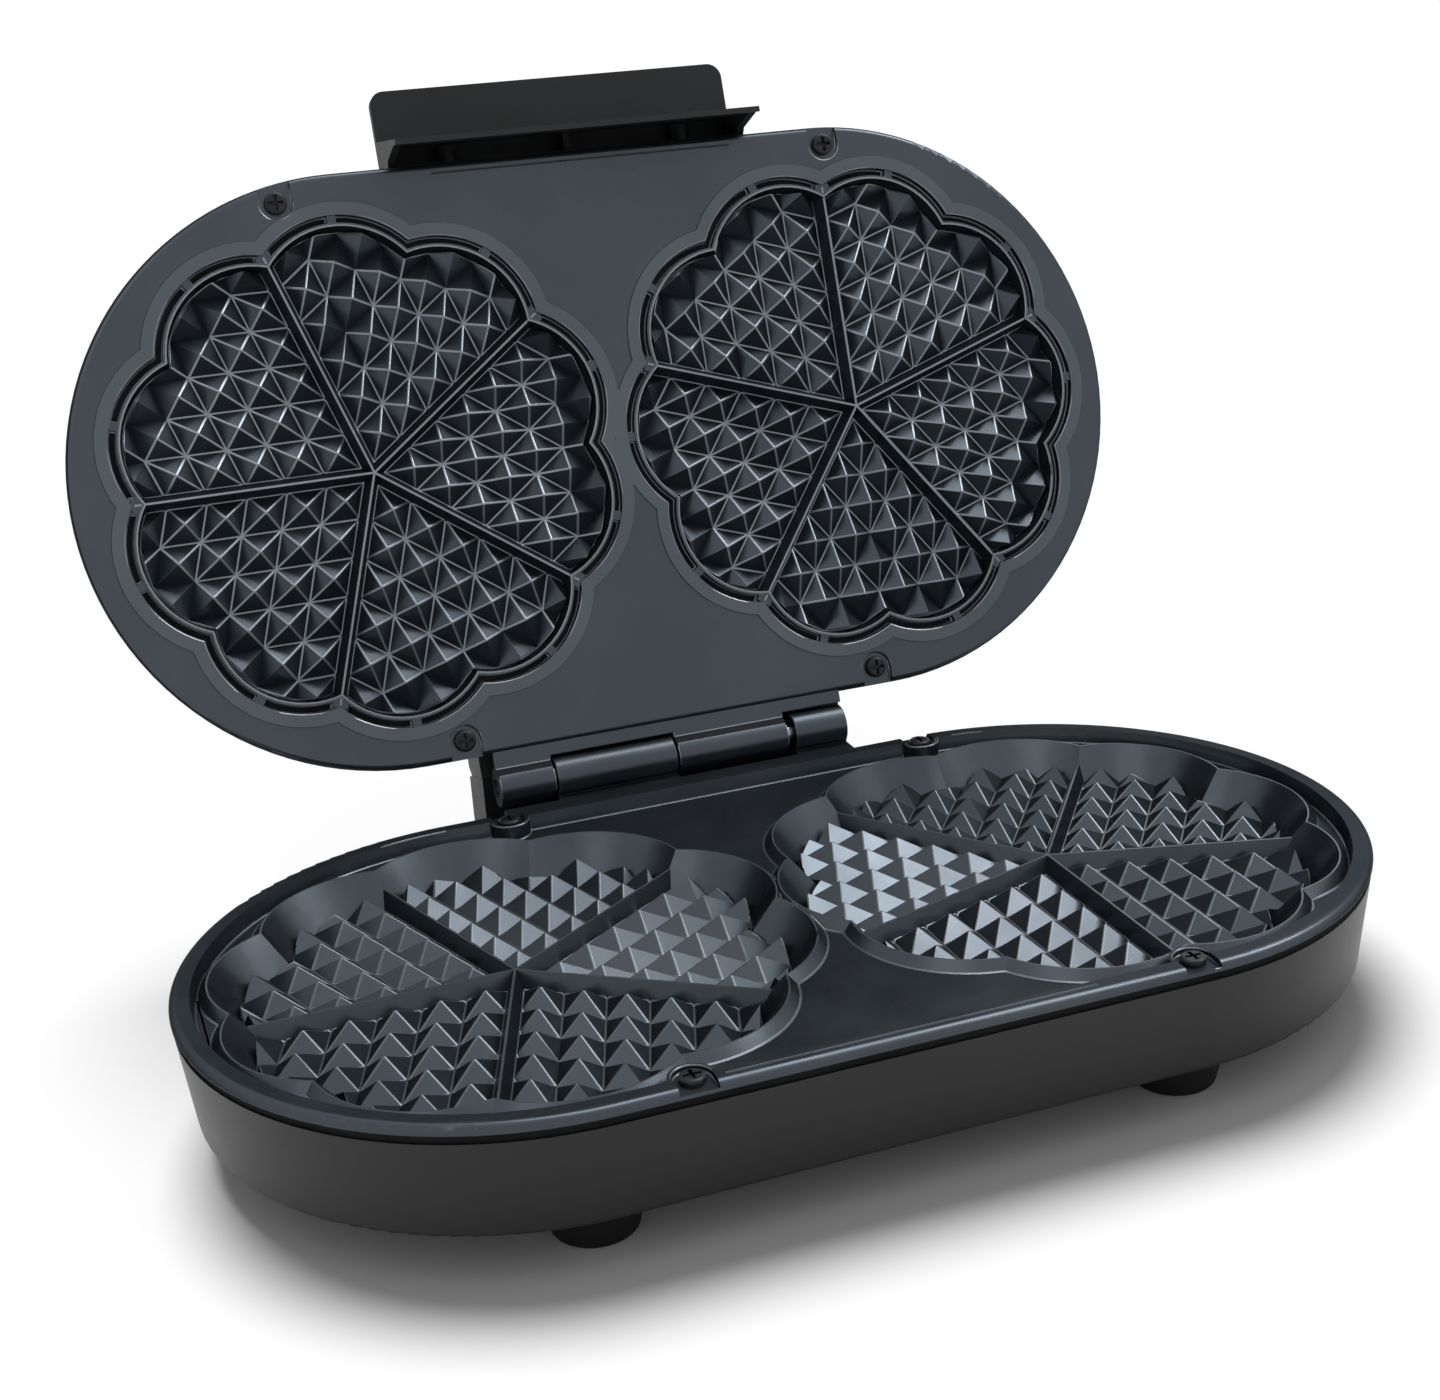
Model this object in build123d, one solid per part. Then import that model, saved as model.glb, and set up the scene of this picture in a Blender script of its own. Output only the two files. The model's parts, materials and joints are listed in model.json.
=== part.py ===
"""Double heart-waffle maker, built as the separate pieces that come apart on a bench.

Everything is first drawn with the lid closed. The top of the lower plate's border is z = 0
and the middle of the body is x = y = 0, with -y at the front. Pieces of the lid are drawn face
up, like their lower twins, turned over onto the base, and then swung open about the hinge.
Last, the whole cooker is moved so that the origin is the bottom centre of its outline.
"""
from build123d import *
from math import cos, hypot, radians, sin, sqrt, tan
import os

# Body outline: two half rounds joined by straight sides
straight_half = 85.5        # from the middle to the centre of each half round
edge_radius = 99.5          # outside of a plate's edge
rim_radius = 99.1           # outside of a housing at its open rim
end_radius = 96.2           # outside of a housing at its closed end
rim_drop = 5.4              # the housing's rim lies this far under the top of the plate's edge
housing_depth = 29.2        # from a housing's rim to its closed end
housing_wall = 2.2
housing_floor = 2.4
base_round = 1.6            # rounding of the base's bottom edge
lid_round = 3.0             # rounding of the lid's top edge

# Plates
edge_thickness = 3.0        # of a plate's edge, which covers the housing's rim
edge_rounding = 2.2         # on the edge's outside
border_width = 6.0          # raised border along the lower plate's edge
border_slope = 0.9          # its inner side leans out this far
tray_depth = 5.2            # the lower plate's flat lies this far under its border
flange = 3.6                # thickness of a plate's flat
mould_skin = 3.0            # metal left under and round a mould
tray_play = 0.7             # between the plate's body and the housing's rim
seal_fit = 0.05             # play above, under and inside the seal
seal_inset = 0.7            # the seal stands back from the housing's outside by this much
plate_gap = 0.8             # between the lower border and the upper plate's face, lid closed
tongue_inset = 3.8          # the spill tongue starts this far in from the plate's edge
tongue_rise = 0.25          # its inner edge above the plate
tongue_out = 0.9            # it runs out this far in from the edge
lower_tongue = (-56.0, 51.0)
upper_tongue = (-51.3, 55.0)

# Moulds: ten equal lobes, whose cusps are every 36 degrees
mould_offset = 87.0         # from the middle to the centre of a mould
lower_cusp = 81.8           # from the centre of a lower mould's mouth to its cusps
lower_reach = 88.4          # from there to the tip of a lobe
upper_cusp = 74.2
upper_reach = 81.8
left_turn = 36.0            # direction of the first ridge in the left mould
right_turn = 54.0           # direction of the first ridge in the right mould
hearts = 5
lower_depth = 13.6          # from the border's top to the mould's floor
upper_depth = 5.9
relief = 6.1                # height of ridges and pyramids above a mould's floor
lower_draft = 35.0          # degrees from upright
upper_draft = 8.0
pitch = 13.1                # side of a pyramid's rhombic foot
grid_start = 1.8            # from a ridge's centre line to the first valley, along the other ridge
pyramid_drop = 0.4          # pyramid tips below the ridges' crests
ridge_half = 2.6            # half a ridge's width at its foot
crest_half = 0.35
relief_root = 0.6           # depth to which ridges and pyramids are rooted in the floor
relief_margin = 0.3         # floor left clear beside the mould's wall
ridge_end = 78.0            # from the centre of a lower mould to the ends of its ridges

# Rim round each mould
lip_drop = 2.3              # top of a lower mould's lip under the border's top
lip_width = 3.2             # at its foot, on the tray's flat
lip_crest = 0.5             # at its top
rim_width = 1.2             # thin rim round an upper mould
rim_height = 0.6
groove_width = 2.6          # groove outside that rim, with a bridge at each lobe and each ridge
groove_depth = 2.4
band_width = 4.4            # raised band outside the groove
band_height = 0.4
band_slope = 0.8
bridge_width = 3.0

# Hinge, level with the plates and behind them
hinge_y = 111.0
hinge_z = 4.7
open_angle = 107.4
barrel_radius = 7.0
pin_radius = 3.0
pin_play = 0.05
pin_inset = 1.5             # pin ends lie this far inside the outer knuckles' ends
hinge_half = 63.4           # half the hinge's length
short_knuckle = 19.8        # length of the two outer knuckles
knuckle_play = 0.35         # half the play between two knuckles
right_play = 2.2            # added play beside the right outer knuckle
leaf_end = 103.2            # rear edge of the plates' leaves
leaf_drop = 0.6             # leaf's face below the plate's face
leaf_overlap = 3.0

# Blocks behind the hinge: the lid's block leans on the base's block when the lid is open
block_half = 66.5           # half the blocks' length
lean_face = 107.5           # rear face of the lid's block, lid closed
lean_gap = 0.1              # between the two blocks when the lid is open
block_start = 118.6         # front of the base's block above its shelf
block_end = 140.0
shelf_level = -14.0
block_bottom = -32.0
block_wall = 2.4
lid_block_low = 12.2
lid_block_slope = 3.0       # bevel on its upper rear edge
block_fit = 0.1             # between a block and the housing's wall
block_screw_x = 45.0
block_boss = 4.5
rear_screw_z = -24.0
lid_stop_screw_z = 24.0
head_seat = 0.4             # screw heads inside the drafted walls stand off by this much
wall_hole_radius = 4.0      # passage for the mains lead
wall_cut = 12.0             # length of the holes' cutters through a side wall
screw_reach = 4.0           # from the housing's closed end radius out to the thread's start

# Handle on the lid's front, lid closed
handle_left = -64.5
handle_right = 62.7
tab_front = -129.0
tab_low = 18.8
tab_thickness = 3.0
tab_corner = 5.0
root_y = -112.0
tip_y = -105.0
tip_z = -14.0
handle_back = 3.0           # wall that bears on the lid
handle_back_low = 11.2      # height at which that wall starts
cheek_lift = 0.6            # the cheeks start this far above the lid housing's rim
handle_screw_z = 14.6
panel_wall = 2.6
panel_taper = 0.7           # panel's thickness at its tip, as a share of that at its root
handle_boss = 3.6           # radius of the bosses for the handle's screws
handle_boss_length = 9.0
handle_screw_x = 42.0

# Feet
foot_x = 88.0
foot_y = 74.0
foot_height = 14.4
foot_top_radius = 15.0
foot_end_radius = 12.0
foot_round = 1.8
foot_bore = 5.0             # counterbore that hides the foot's screw
foot_bore_depth = 7.0

# Screws
head_radius = 3.7
head_height = 2.1
head_round = 1.0
cross_arm = 2.5
cross_width = 1.1
cross_depth = 1.3
shank_radius = 1.9
shank_play = 0.06
notch_radius = 5.4          # U-shaped recess for a plate screw
notch_depth = 1.7
pad_wall = 1.3              # raised wall round that recess
boss_radius = 4.6
plate_screw_grip = 12.0     # depth of the hole in the housing's boss
short_screw_length = 8.0
screw_line = 93.2           # screws lie on an outline of this radius
lower_screw_x = ((-64.0, 82.0), (-64.0, 86.0))      # front pair, rear pair
upper_screw_x = ((-104.0, 90.0), (-72.0, 79.0))

# Heating elements and what holds them
element_radius = 55.0       # of the ring
element_tube = 3.3
element_arc = 290.0
element_gap = 0.15          # between the tube and the plate
pin_length = 14.0
cold_pin_radius = 1.6
strap_width = 8.0
strap_sheet = 1.0
strap_foot = 7.0
strap_play = 0.2
small_head_radius = 2.3
small_head_height = 1.3
small_shank_radius = 1.3
shield_radius = 66.0
shield_sheet = 0.6
shield_rise = 3.0
shield_gap = 2.4            # under the straps
post_radius = 3.6
post_offset = 32.0
post_floor = 0.5            # a post's hole ends this far above the housing's floor

# Electrical pieces
thermostat_size = (34.0, 14.0, 6.0)
thermostat_foot = 1.2
thermostat_tab = 2.2        # half the width of its tabs
fuse_radius = 2.4
fuse_length = 22.0
fuse_wire = 0.8
fuse_drop = 3.2             # its middle below the plate
clip_width = 8.0
clip_foot = 7.0
clip_side = 3.4
terminal_size = (36.0, 18.0, 12.0)
terminal_y = 76.0
terminal_cell = 9.0
terminal_port_radius = 2.2
terminal_screw_pit = 5.0
terminal_pit_radius = 2.6
terminal_screw_radius = 2.4
terminal_screw_drop = 2.6   # underside of its head below the block's top
lead_radius = 1.5
lead_run = 10.0             # straight stretch of a lead at each of its ends
lead_bend = 8.0
terminal_port_z = 4.5       # height of the terminals' ports over the housing's floor
lens_radius = 4.5
lens_flange = 6.0
lens_x = 15.0
lens_y = -76.0
lens_rise = 1.4
lamp_board_width = 14.0
lamp_board_thickness = 1.6
lamp_leg_radius = 2.2
lens_flange_height = 1.6
lamp_radius = 3.0
lamp_length = 9.0
gland_x = 42.0
gland_z = -21.0
gland_radius = 6.0
gland_flange = 8.5
gland_bore = 3.7
gland_flange_height = 2.0

eps = 0.01

# Worked-out values
rim_level = -rim_drop
end_level = rim_level - housing_depth
floor_level = end_level + housing_floor
tray_radius = rim_radius - housing_wall - tray_play
border_radius = edge_radius - border_width
lobe_half_angle = radians(18)
leaf_low = -edge_thickness
mould_places = ((-mould_offset, left_turn), (mould_offset, right_turn))
lamp_level = floor_level + lens_flange_height + 1.5 + lamp_radius
shield_level = -(lower_depth + mould_skin) - element_gap - 2 * element_tube - strap_play - strap_sheet


def stadium(radius, level=0.0):
    """Face of the body's outline with half rounds of the given radius."""
    return Pos(0, 0, level) * SlotCenterToCenter(2 * straight_half, 2 * radius)


def stadium_block(radius, low, high):
    return extrude(stadium(radius, low), high - low)


def box(x0, x1, y0, y1, z0, z1):
    corner = (Align.MIN, Align.MIN, Align.MIN)
    return Pos(x0, y0, z0) * Box(x1 - x0, y1 - y0, z1 - z0, align=corner)


def post(x, y, low, high, radius):
    bottom = (Align.CENTER, Align.CENTER, Align.MIN)
    return Pos(x, y, low) * Cylinder(radius, high - low, align=bottom)


def bar_x(points, x0, x1):
    """Profile of (y, z) points, drawn out along x."""
    outline = Polyline(*[(x0, y, z) for y, z in points], close=True)
    return extrude(make_face(outline), x1 - x0, dir=(1, 0, 0))


def rod_x(radius, x0, x1, y=hinge_y, z=hinge_z):
    middle = (x0 + x1) / 2
    return Pos(middle, y, z) * Rot(0, 90, 0) * Cylinder(radius, x1 - x0)


def solids(pieces):
    """Separate solids in one node."""
    return Compound(children=[piece.solids()[0] for piece in pieces])


# Flower outline, grown evenly from the mould's edge
def moulds(cusp, reach):
    """Centre, turn, and the lobes' centre distance and radius, for the left and the right mould."""
    along = cusp * cos(lobe_half_angle)
    across = cusp * sin(lobe_half_angle)
    centre = (reach**2 - along**2 - across**2) / (2 * (reach - along))
    return [(x, turn, centre, reach - centre) for x, turn in mould_places]


def flower(mould, level, grow=0.0):
    centre_x, turn, lobe_centre, lobe_radius = mould
    radius = lobe_radius + grow
    cusp = lobe_centre * cos(lobe_half_angle) + sqrt(radius**2 - (lobe_centre * sin(lobe_half_angle))**2)

    def at(distance, angle):
        return (centre_x + distance * cos(radians(angle)), distance * sin(radians(angle)), level)

    arcs = []
    for lobe in range(2 * hearts):
        start = turn + 36 * lobe
        tip = at(lobe_centre + radius, start + 18)
        arcs.append(ThreePointArc(at(cusp, start), tip, at(cusp, start + 36)))
    return make_face(Wire(arcs))


def flower_block(mould, low, high, grow_low=0.0, grow_high=None):
    """Flower-shaped block whose outline may grow with its height."""
    grow_high = grow_low if grow_high is None else grow_high
    return loft([flower(mould, low, grow_low), flower(mould, high, grow_high)], ruled=True)


def pyramid_field(reach):
    """One heart's pyramids, with ridges along 0 and 72 degrees from the mould's centre."""
    count = 1 + int((reach - grid_start) / pitch)
    first = Vector(1, 0, 0)
    second = Vector(cos(radians(72)), sin(radians(72)), 0)

    def node(i, j, height):
        return first * (grid_start + i * pitch) + second * (grid_start + j * pitch) + Vector(0, 0, height)

    def facet(*corners):
        return Face(Wire.make_polygon(corners, close=True))

    cells = [(i, j) for i in range(count) for j in range(count) if i + j <= count + 1]
    faces = []
    for i, j in cells:
        corners = [(i, j), (i + 1, j), (i + 1, j + 1), (i, j + 1)]
        outward = [(i, j - 1), (i + 1, j), (i, j + 1), (i - 1, j)]
        tip = node(i + 0.5, j + 0.5, relief - pyramid_drop)
        faces.append(facet(*[node(*corner, -relief_root) for corner in corners]))
        for k in range(4):
            start, end = corners[k], corners[(k + 1) % 4]
            faces.append(facet(node(*start, 0), node(*end, 0), tip))
            if outward[k] not in cells:
                low_start, low_end = node(*start, -relief_root), node(*end, -relief_root)
                faces.append(facet(low_start, low_end, node(*end, 0), node(*start, 0)))
    return Solid(Shell(faces))


def ridge(length):
    """Roof-shaped ridge from the mould's centre outwards, along x."""
    section = [(-ridge_half, -relief_root), (ridge_half, -relief_root), (ridge_half, 0),
               (crest_half, relief), (-crest_half, relief), (-ridge_half, 0)]
    return bar_x(section, 0, length)


def mould_relief(mould, depth, shrink, reach, ridge_length):
    """Pyramids and ridges of one mould, standing on its floor."""
    centre_x, turn = mould[:2]
    field = pyramid_field(reach)
    ridge_bar = ridge(ridge_length)
    places = [Pos(centre_x, 0, -depth) * Rot(0, 0, turn + 72 * heart) for heart in range(hearts)]
    clip = flower_block(mould, -depth - 2 * relief_root, 0, -shrink - relief_margin)
    fields = [(place * field) & clip for place in places]
    return fields, [place * ridge_bar for place in places]


# Cast plates, drawn face up
def hinge_spans():
    """Knuckle ends along x, from left to right: lid, base, lid, base."""
    inner = hinge_half - short_knuckle
    return [(-hinge_half, -inner - knuckle_play), (-inner + knuckle_play, -knuckle_play),
            (knuckle_play, inner - knuckle_play - right_play), (inner + knuckle_play, hinge_half)]


def screw_points(pairs):
    points = []
    for side, row in zip((-1, 1), pairs):
        for x in row:
            over = max(0.0, abs(x) - straight_half)
            points.append((x, side * sqrt(screw_line**2 - over**2)))
    return points


def screw_notch(x, y, radius, low):
    """U-shaped block, open to the plate's edge."""
    side = 1 if y > 0 else -1
    y0, y1 = sorted((y, y + side * 2 * notch_radius))
    top = edge_thickness
    return post(x, y, low, top, radius) + box(x - radius, x + radius, y0, y1, low, top)


def tongue(ends):
    """Spill tongue: a low strip along the plate's front edge."""
    inner = -(edge_radius - tongue_inset)
    outer = -(edge_radius - tongue_out)
    edge = -edge_rounding + sqrt(edge_rounding**2 - (edge_rounding - tongue_out)**2)
    root = -edge_thickness / 2
    return bar_x([(inner, root), (outer, root), (outer, edge), (inner, tongue_rise)], *ends)


def blank(thickness):
    """Flat plate with a rounded edge over the housing's rim and a body inside the housing."""
    edge = stadium_block(edge_radius, -edge_thickness, 0)
    edge = fillet(edge.faces().sort_by(Axis.Z)[-1].edges(), edge_rounding)
    return edge + stadium_block(tray_radius, -thickness, -edge_thickness / 2)


def hinge_leaf(plate, knuckle_spans, axis_level):
    """Leaf behind the plate, with this plate's knuckles at its rear edge."""
    plate = plate + box(-hinge_half, hinge_half, edge_radius - leaf_overlap, leaf_end, leaf_low, -leaf_drop)
    for x0, x1 in knuckle_spans:
        web = box(x0, x1, leaf_end - leaf_overlap, hinge_y, leaf_low, -leaf_drop)
        plate = plate + web + rod_x(barrel_radius, x0, x1, z=axis_level)
        plate = plate - rod_x(pin_radius + pin_play, x0 - 1, x1 + 1, z=axis_level)
    return plate


def screw_seats(plate, points, floor):
    """Raised U-shaped pads with a recess and a hole for each screw."""
    for x, y in points:
        pad = screw_notch(x, y, notch_radius + pad_wall, floor)
        plate = plate + (pad & stadium_block(tray_radius, floor, 0))
    for x, y in points:
        plate = plate - screw_notch(x, y, notch_radius, -notch_depth)
        plate = plate - post(x, y, floor - flange - 1, 0, shank_radius + shank_play)
    return plate


def lower_cast_plate(knuckle_spans):
    floor = -tray_depth
    plate = blank(tray_depth + flange)
    tray = loft([stadium(border_radius - border_slope, floor), stadium(border_radius, 0)], ruled=True)
    plate = plate - tray - stadium_block(border_radius, -eps, 1)
    lean = tan(radians(lower_draft))
    lip_lean = (lip_width - lip_crest) / (tray_depth - lip_drop)
    shrink = (lower_depth - lip_drop) * lean
    bottom = -lower_depth - mould_skin
    rooted = floor - flange / 2
    for mould in moulds(lower_cusp, lower_reach):
        outside = [(level + lip_drop) * lean + mould_skin for level in (bottom, rooted)]
        plate = plate + flower_block(mould, bottom, rooted, *outside)
        plate = plate + flower_block(mould, floor - 1, -lip_drop, lip_width + lip_lean, lip_crest)
    for mould in moulds(lower_cusp, lower_reach):
        plate = plate - flower_block(mould, -lower_depth, 1 - lip_drop, -shrink, lean)
        plate = plate - flower_block(mould, 1 - lip_drop, 1, lean)
    for mould in moulds(lower_cusp, lower_reach):
        fields, ridges = mould_relief(mould, lower_depth, shrink, lower_reach, ridge_end)
        for piece in fields + ridges:
            plate = plate + piece
    plate = plate + tongue(lower_tongue)
    plate = screw_seats(plate, screw_points(lower_screw_x), floor)
    return blind_holes(hinge_leaf(plate, knuckle_spans, hinge_z), lower_depth)


def upper_cast_plate(knuckle_spans):
    plate = blank(flange)
    lean = tan(radians(upper_draft))
    groove_out = rim_width + groove_width
    band_out = groove_out + band_width
    crossing = band_height - pyramid_drop
    for mould in moulds(upper_cusp, upper_reach):
        plate = plate + flower_block(mould, -upper_depth - mould_skin, -flange / 2, mould_skin)
        plate = plate + flower_block(mould, -flange / 2, band_height, band_out + band_slope, band_out)
    for mould in moulds(upper_cusp, upper_reach):
        groove = flower_block(mould, -groove_depth, 1, groove_out)
        groove = groove - flower_block(mould, -groove_depth - 1, 2, rim_width)
        spokes = [(18 + 36 * lobe, upper_reach, bridge_width) for lobe in range(2 * hearts)]
        spokes = spokes + [(72 * heart, upper_cusp, 2 * ridge_half) for heart in range(hearts)]
        for angle, start, width in spokes:
            bridge = box(start - 1, start + groove_out + 1, -width / 2, width / 2, -groove_depth - 2, crossing)
            groove = groove - Pos(mould[0], 0, 0) * Rot(0, 0, mould[1] + angle) * bridge
        plate = plate - groove + flower_block(mould, -flange / 2, rim_height, rim_width, rim_width / 2)
        plate = plate - flower_block(mould, -upper_depth, 2, -upper_depth * lean, 2 * lean)
    for mould in moulds(upper_cusp, upper_reach):
        length = upper_cusp + groove_out
        fields, ridges = mould_relief(mould, upper_depth, upper_depth * lean, upper_reach, length)
        for piece in fields + ridges:
            plate = plate + piece
    plate = plate + tongue(upper_tongue)
    plate = screw_seats(plate, screw_points(upper_screw_x), -flange / 2)
    return blind_holes(hinge_leaf(plate, knuckle_spans, plate_gap - hinge_z), upper_depth)


# Housings, drawn open side up
def wall_radius(level):
    """Outside of a housing's drafted wall at this level."""
    return rim_radius - (rim_radius - end_radius) * (rim_level - level) / housing_depth


def housing(screw_pairs, edge_round, plate_bottom):
    """Shell with a boss under each of the plate's screws, kept inside the outer wall."""
    outer = loft([stadium(end_radius, end_level), stadium(rim_radius, rim_level)], ruled=True)
    outer = fillet(outer.faces().sort_by(Axis.Z)[0].edges(), edge_round)
    inner_floor = wall_radius(floor_level) - housing_wall
    inner_top = rim_radius - housing_wall
    inner = loft([stadium(inner_floor, floor_level), stadium(inner_top, rim_level)], ruled=True)
    shell = outer - inner
    room = outer + stadium_block(tray_radius, rim_level - 1, 0)
    for x, y in screw_points(screw_pairs):
        shell = shell + (post(x, y, floor_level - 1, plate_bottom - seal_fit, boss_radius) & room)
    for x, y in screw_points(screw_pairs):
        shell = shell - post(x, y, plate_bottom - plate_screw_grip, 0, shank_radius + shank_play)
    return shell


def seal():
    """Dark seal between the plate's edge and the housing's rim."""
    low = rim_level + seal_fit
    high = -edge_thickness - seal_fit
    outside = stadium_block(rim_radius - seal_inset, low, high)
    return outside - stadium_block(tray_radius + seal_fit, low - 1, high + 1)


# Fasteners
def screw(length, radius=head_radius, height=head_height, shank=shank_radius):
    """Cross-recessed screw, head up, with the underside of its head at z = 0."""
    head = post(0, 0, 0, height, radius)
    head = fillet(head.edges().sort_by(Axis.Z)[-1], min(head_round, 0.7 * height))
    body = head + post(0, 0, -length, 0, shank)
    reach = cross_arm * radius / head_radius
    half = cross_width * radius / head_radius / 2
    deep = height - cross_depth * height / head_height
    body = body - box(-reach, reach, -half, half, deep, height + 1)
    return body - box(-half, half, -reach, reach, deep, height + 1)


def plate_screws(screw_pairs, plate_bottom):
    level = -notch_depth
    length = plate_screw_grip - notch_depth - plate_bottom - 1
    return [Pos(x, y, level) * screw(length) for x, y in screw_points(screw_pairs)]


# Heating elements
def element(centre_x, depth):
    """Tubular ring under one mould, with two cold pins turned towards the middle."""
    level = -depth - mould_skin - element_gap - element_tube
    side = 1 if centre_x < 0 else -1
    ring = revolve(Plane.XZ * Pos(element_radius, 0) * Circle(element_tube), Axis.Z, element_arc)
    gap = 360 - element_arc
    first = gap / 2 + (0 if side > 0 else 180)
    ring = ring.rotate(Axis.Z, first)
    pieces = ring
    for sign in (-1, 1):
        angle = (0 if side > 0 else 180) + sign * gap / 2
        end = Vector(element_radius * cos(radians(angle)), element_radius * sin(radians(angle)), 0)
        pin = Rot(-90 * sign, 0, 0) * Pos(0, 0, -pin_length) * Cylinder(
            cold_pin_radius, pin_length + 2, align=(Align.CENTER, Align.CENTER, Align.MIN))
        pieces = pieces + Pos(end) * Rot(0, 0, angle) * pin
    return Pos(centre_x, 0, level) * pieces


strap_angles = (90.0, 210.0, 330.0)


def strap_places(centre_x):
    flip = 180 if centre_x > 0 else 0
    return [(centre_x, angle + 60 + flip) for angle in strap_angles]


def strap(depth):
    """Hat-shaped strap under the tube, drawn at x = element_radius."""
    top = -depth - mould_skin
    inner = element_tube + strap_play
    low = top - element_gap - 2 * element_tube - strap_play
    outer = inner + strap_sheet
    wide = outer + strap_foot
    profile = [(-wide, top - eps), (-inner, top - eps), (-inner, low), (inner, low), (inner, top - eps),
               (wide, top - eps), (wide, top - strap_sheet), (outer, top - strap_sheet),
               (outer, low - strap_sheet), (-outer, low - strap_sheet), (-outer, top - strap_sheet),
               (-wide, top - strap_sheet)]
    hat = bar_x(profile, -strap_width / 2, strap_width / 2)
    middle = outer + strap_foot / 2
    for side in (-1, 1):
        hat = hat - post(0, side * middle, top - 5, top + 1, small_shank_radius + shank_play)
    return Pos(element_radius, 0, 0) * Rot(0, 0, 90) * hat


def straps(depth):
    one = strap(depth)
    places = [place for centre_x, _ in mould_places for place in strap_places(centre_x)]
    return [Pos(x, 0, 0) * Rot(0, 0, angle) * one for x, angle in places]


def strap_screw_points():
    middle = element_tube + strap_play + strap_sheet + strap_foot / 2
    points = []
    for centre_x, _ in mould_places:
        for x, angle in strap_places(centre_x):
            for side in (-1, 1):
                reach = element_radius + side * middle
                points.append((x + reach * cos(radians(angle)), reach * sin(radians(angle))))
    return points


def strap_screws(depth):
    """Small screws, heads down, one through each strap's foot."""
    level = -depth - mould_skin - strap_sheet - eps
    one = Rot(180, 0, 0) * screw(strap_sheet + 2.2, small_head_radius, small_head_height, small_shank_radius)
    return [Pos(x, y, level) * one for x, y in strap_screw_points()]


def blind_holes(plate, depth):
    for x, y in strap_screw_points():
        low = -depth - mould_skin
        plate = plate - post(x, y, low - 1, low + 2.4, small_shank_radius + shank_play)
    return plate


# Heat shields: round trays on posts that stand on the housing's closed end
def shield(centre_x, level):
    tray = post(centre_x, 0, level - shield_sheet, level + shield_rise, shield_radius)
    tray = tray - post(centre_x, 0, level, level + shield_rise + 1, shield_radius - shield_sheet)
    for side in (-1, 1):
        hole = shank_radius + shank_play
        tray = tray - post(centre_x, side * post_offset, level - 5, level + 5, hole)
    return tray


def shield_posts(housing_piece, level):
    for centre_x, _ in mould_places:
        for side in (-1, 1):
            y = side * post_offset
            top = level - shield_sheet - eps
            housing_piece = housing_piece + post(centre_x, y, floor_level - 1, top, post_radius)
            hole_low = floor_level + post_floor
            housing_piece = housing_piece - post(centre_x, y, hole_low, top + 1, shank_radius + shank_play)
    return housing_piece


def shield_screws(level):
    length = level - shield_sheet - floor_level - post_floor - 0.3
    one = screw(length, small_head_radius + 0.7, small_head_height, shank_radius)
    return [Pos(x, side * post_offset, level + eps) * one for x, _ in mould_places for side in (-1, 1)]


# Control pieces
def thermostat(centre_x, depth):
    """Snap-disc switch on a bent foot, under the middle of a mould."""
    top = -depth - mould_skin
    long, wide, high = thermostat_size
    plate = box(-long / 2, long / 2, -wide / 2, wide / 2, top - thermostat_foot, top - eps)
    disc = post(0, 0, top - high, top - thermostat_foot, wide / 2 - 0.5)
    tabs = box(-wide, wide, -thermostat_tab, thermostat_tab, top - high, top - high + 1)
    return Pos(centre_x, 0, 0) * (plate + disc + tabs)


def fuse(centre_x, depth):
    """Thermal fuse in its clip, under the middle of a mould."""
    top = -depth - mould_skin
    along = Pos(0, 0, top - fuse_drop) * Rot(0, 90, 0)
    body = along * Cylinder(fuse_radius, fuse_length)
    leads = along * Cylinder(fuse_wire, fuse_length + 16)
    half = clip_width / 2
    clip = box(-half, half, -clip_foot, clip_foot, top - strap_sheet, top - eps)
    clip = clip + box(-half, half, -clip_side, clip_side, top - 2 * fuse_drop, top - strap_sheet)
    return Pos(centre_x, 0, 0) * (body + leads + clip)


def terminal_block():
    long, wide, high = terminal_size
    front, back = terminal_y - wide / 2, terminal_y + wide / 2
    block = box(-long / 2, long / 2, front, back, floor_level + eps, floor_level + high)
    for n in (-1, 0, 1):
        x = n * terminal_cell
        top = floor_level + high
        block = block - post(x, terminal_y, top - terminal_screw_pit, top + 1, terminal_pit_radius)
        port = Pos(x, terminal_y, floor_level + terminal_port_z) * Rot(90, 0, 0)
        block = block - port * Cylinder(terminal_port_radius, wide + 2)
    return block


def terminal_screws():
    top = floor_level + terminal_size[2]
    shank = terminal_screw_radius / 2
    one = screw(terminal_screw_radius, terminal_screw_radius, small_head_height, shank)
    return [Pos(n * terminal_cell, terminal_y, top - terminal_screw_drop) * one for n in (-1, 0, 1)]


# Blocks behind the hinge
def lean_height(y):
    """Level of the open lid's block at this y: its rear face, swung about the hinge."""
    swing = radians(open_angle)
    along = y - hinge_y
    offset = lean_face - hinge_y
    return hinge_z + (along * cos(swing) - offset) / sin(swing)


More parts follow.
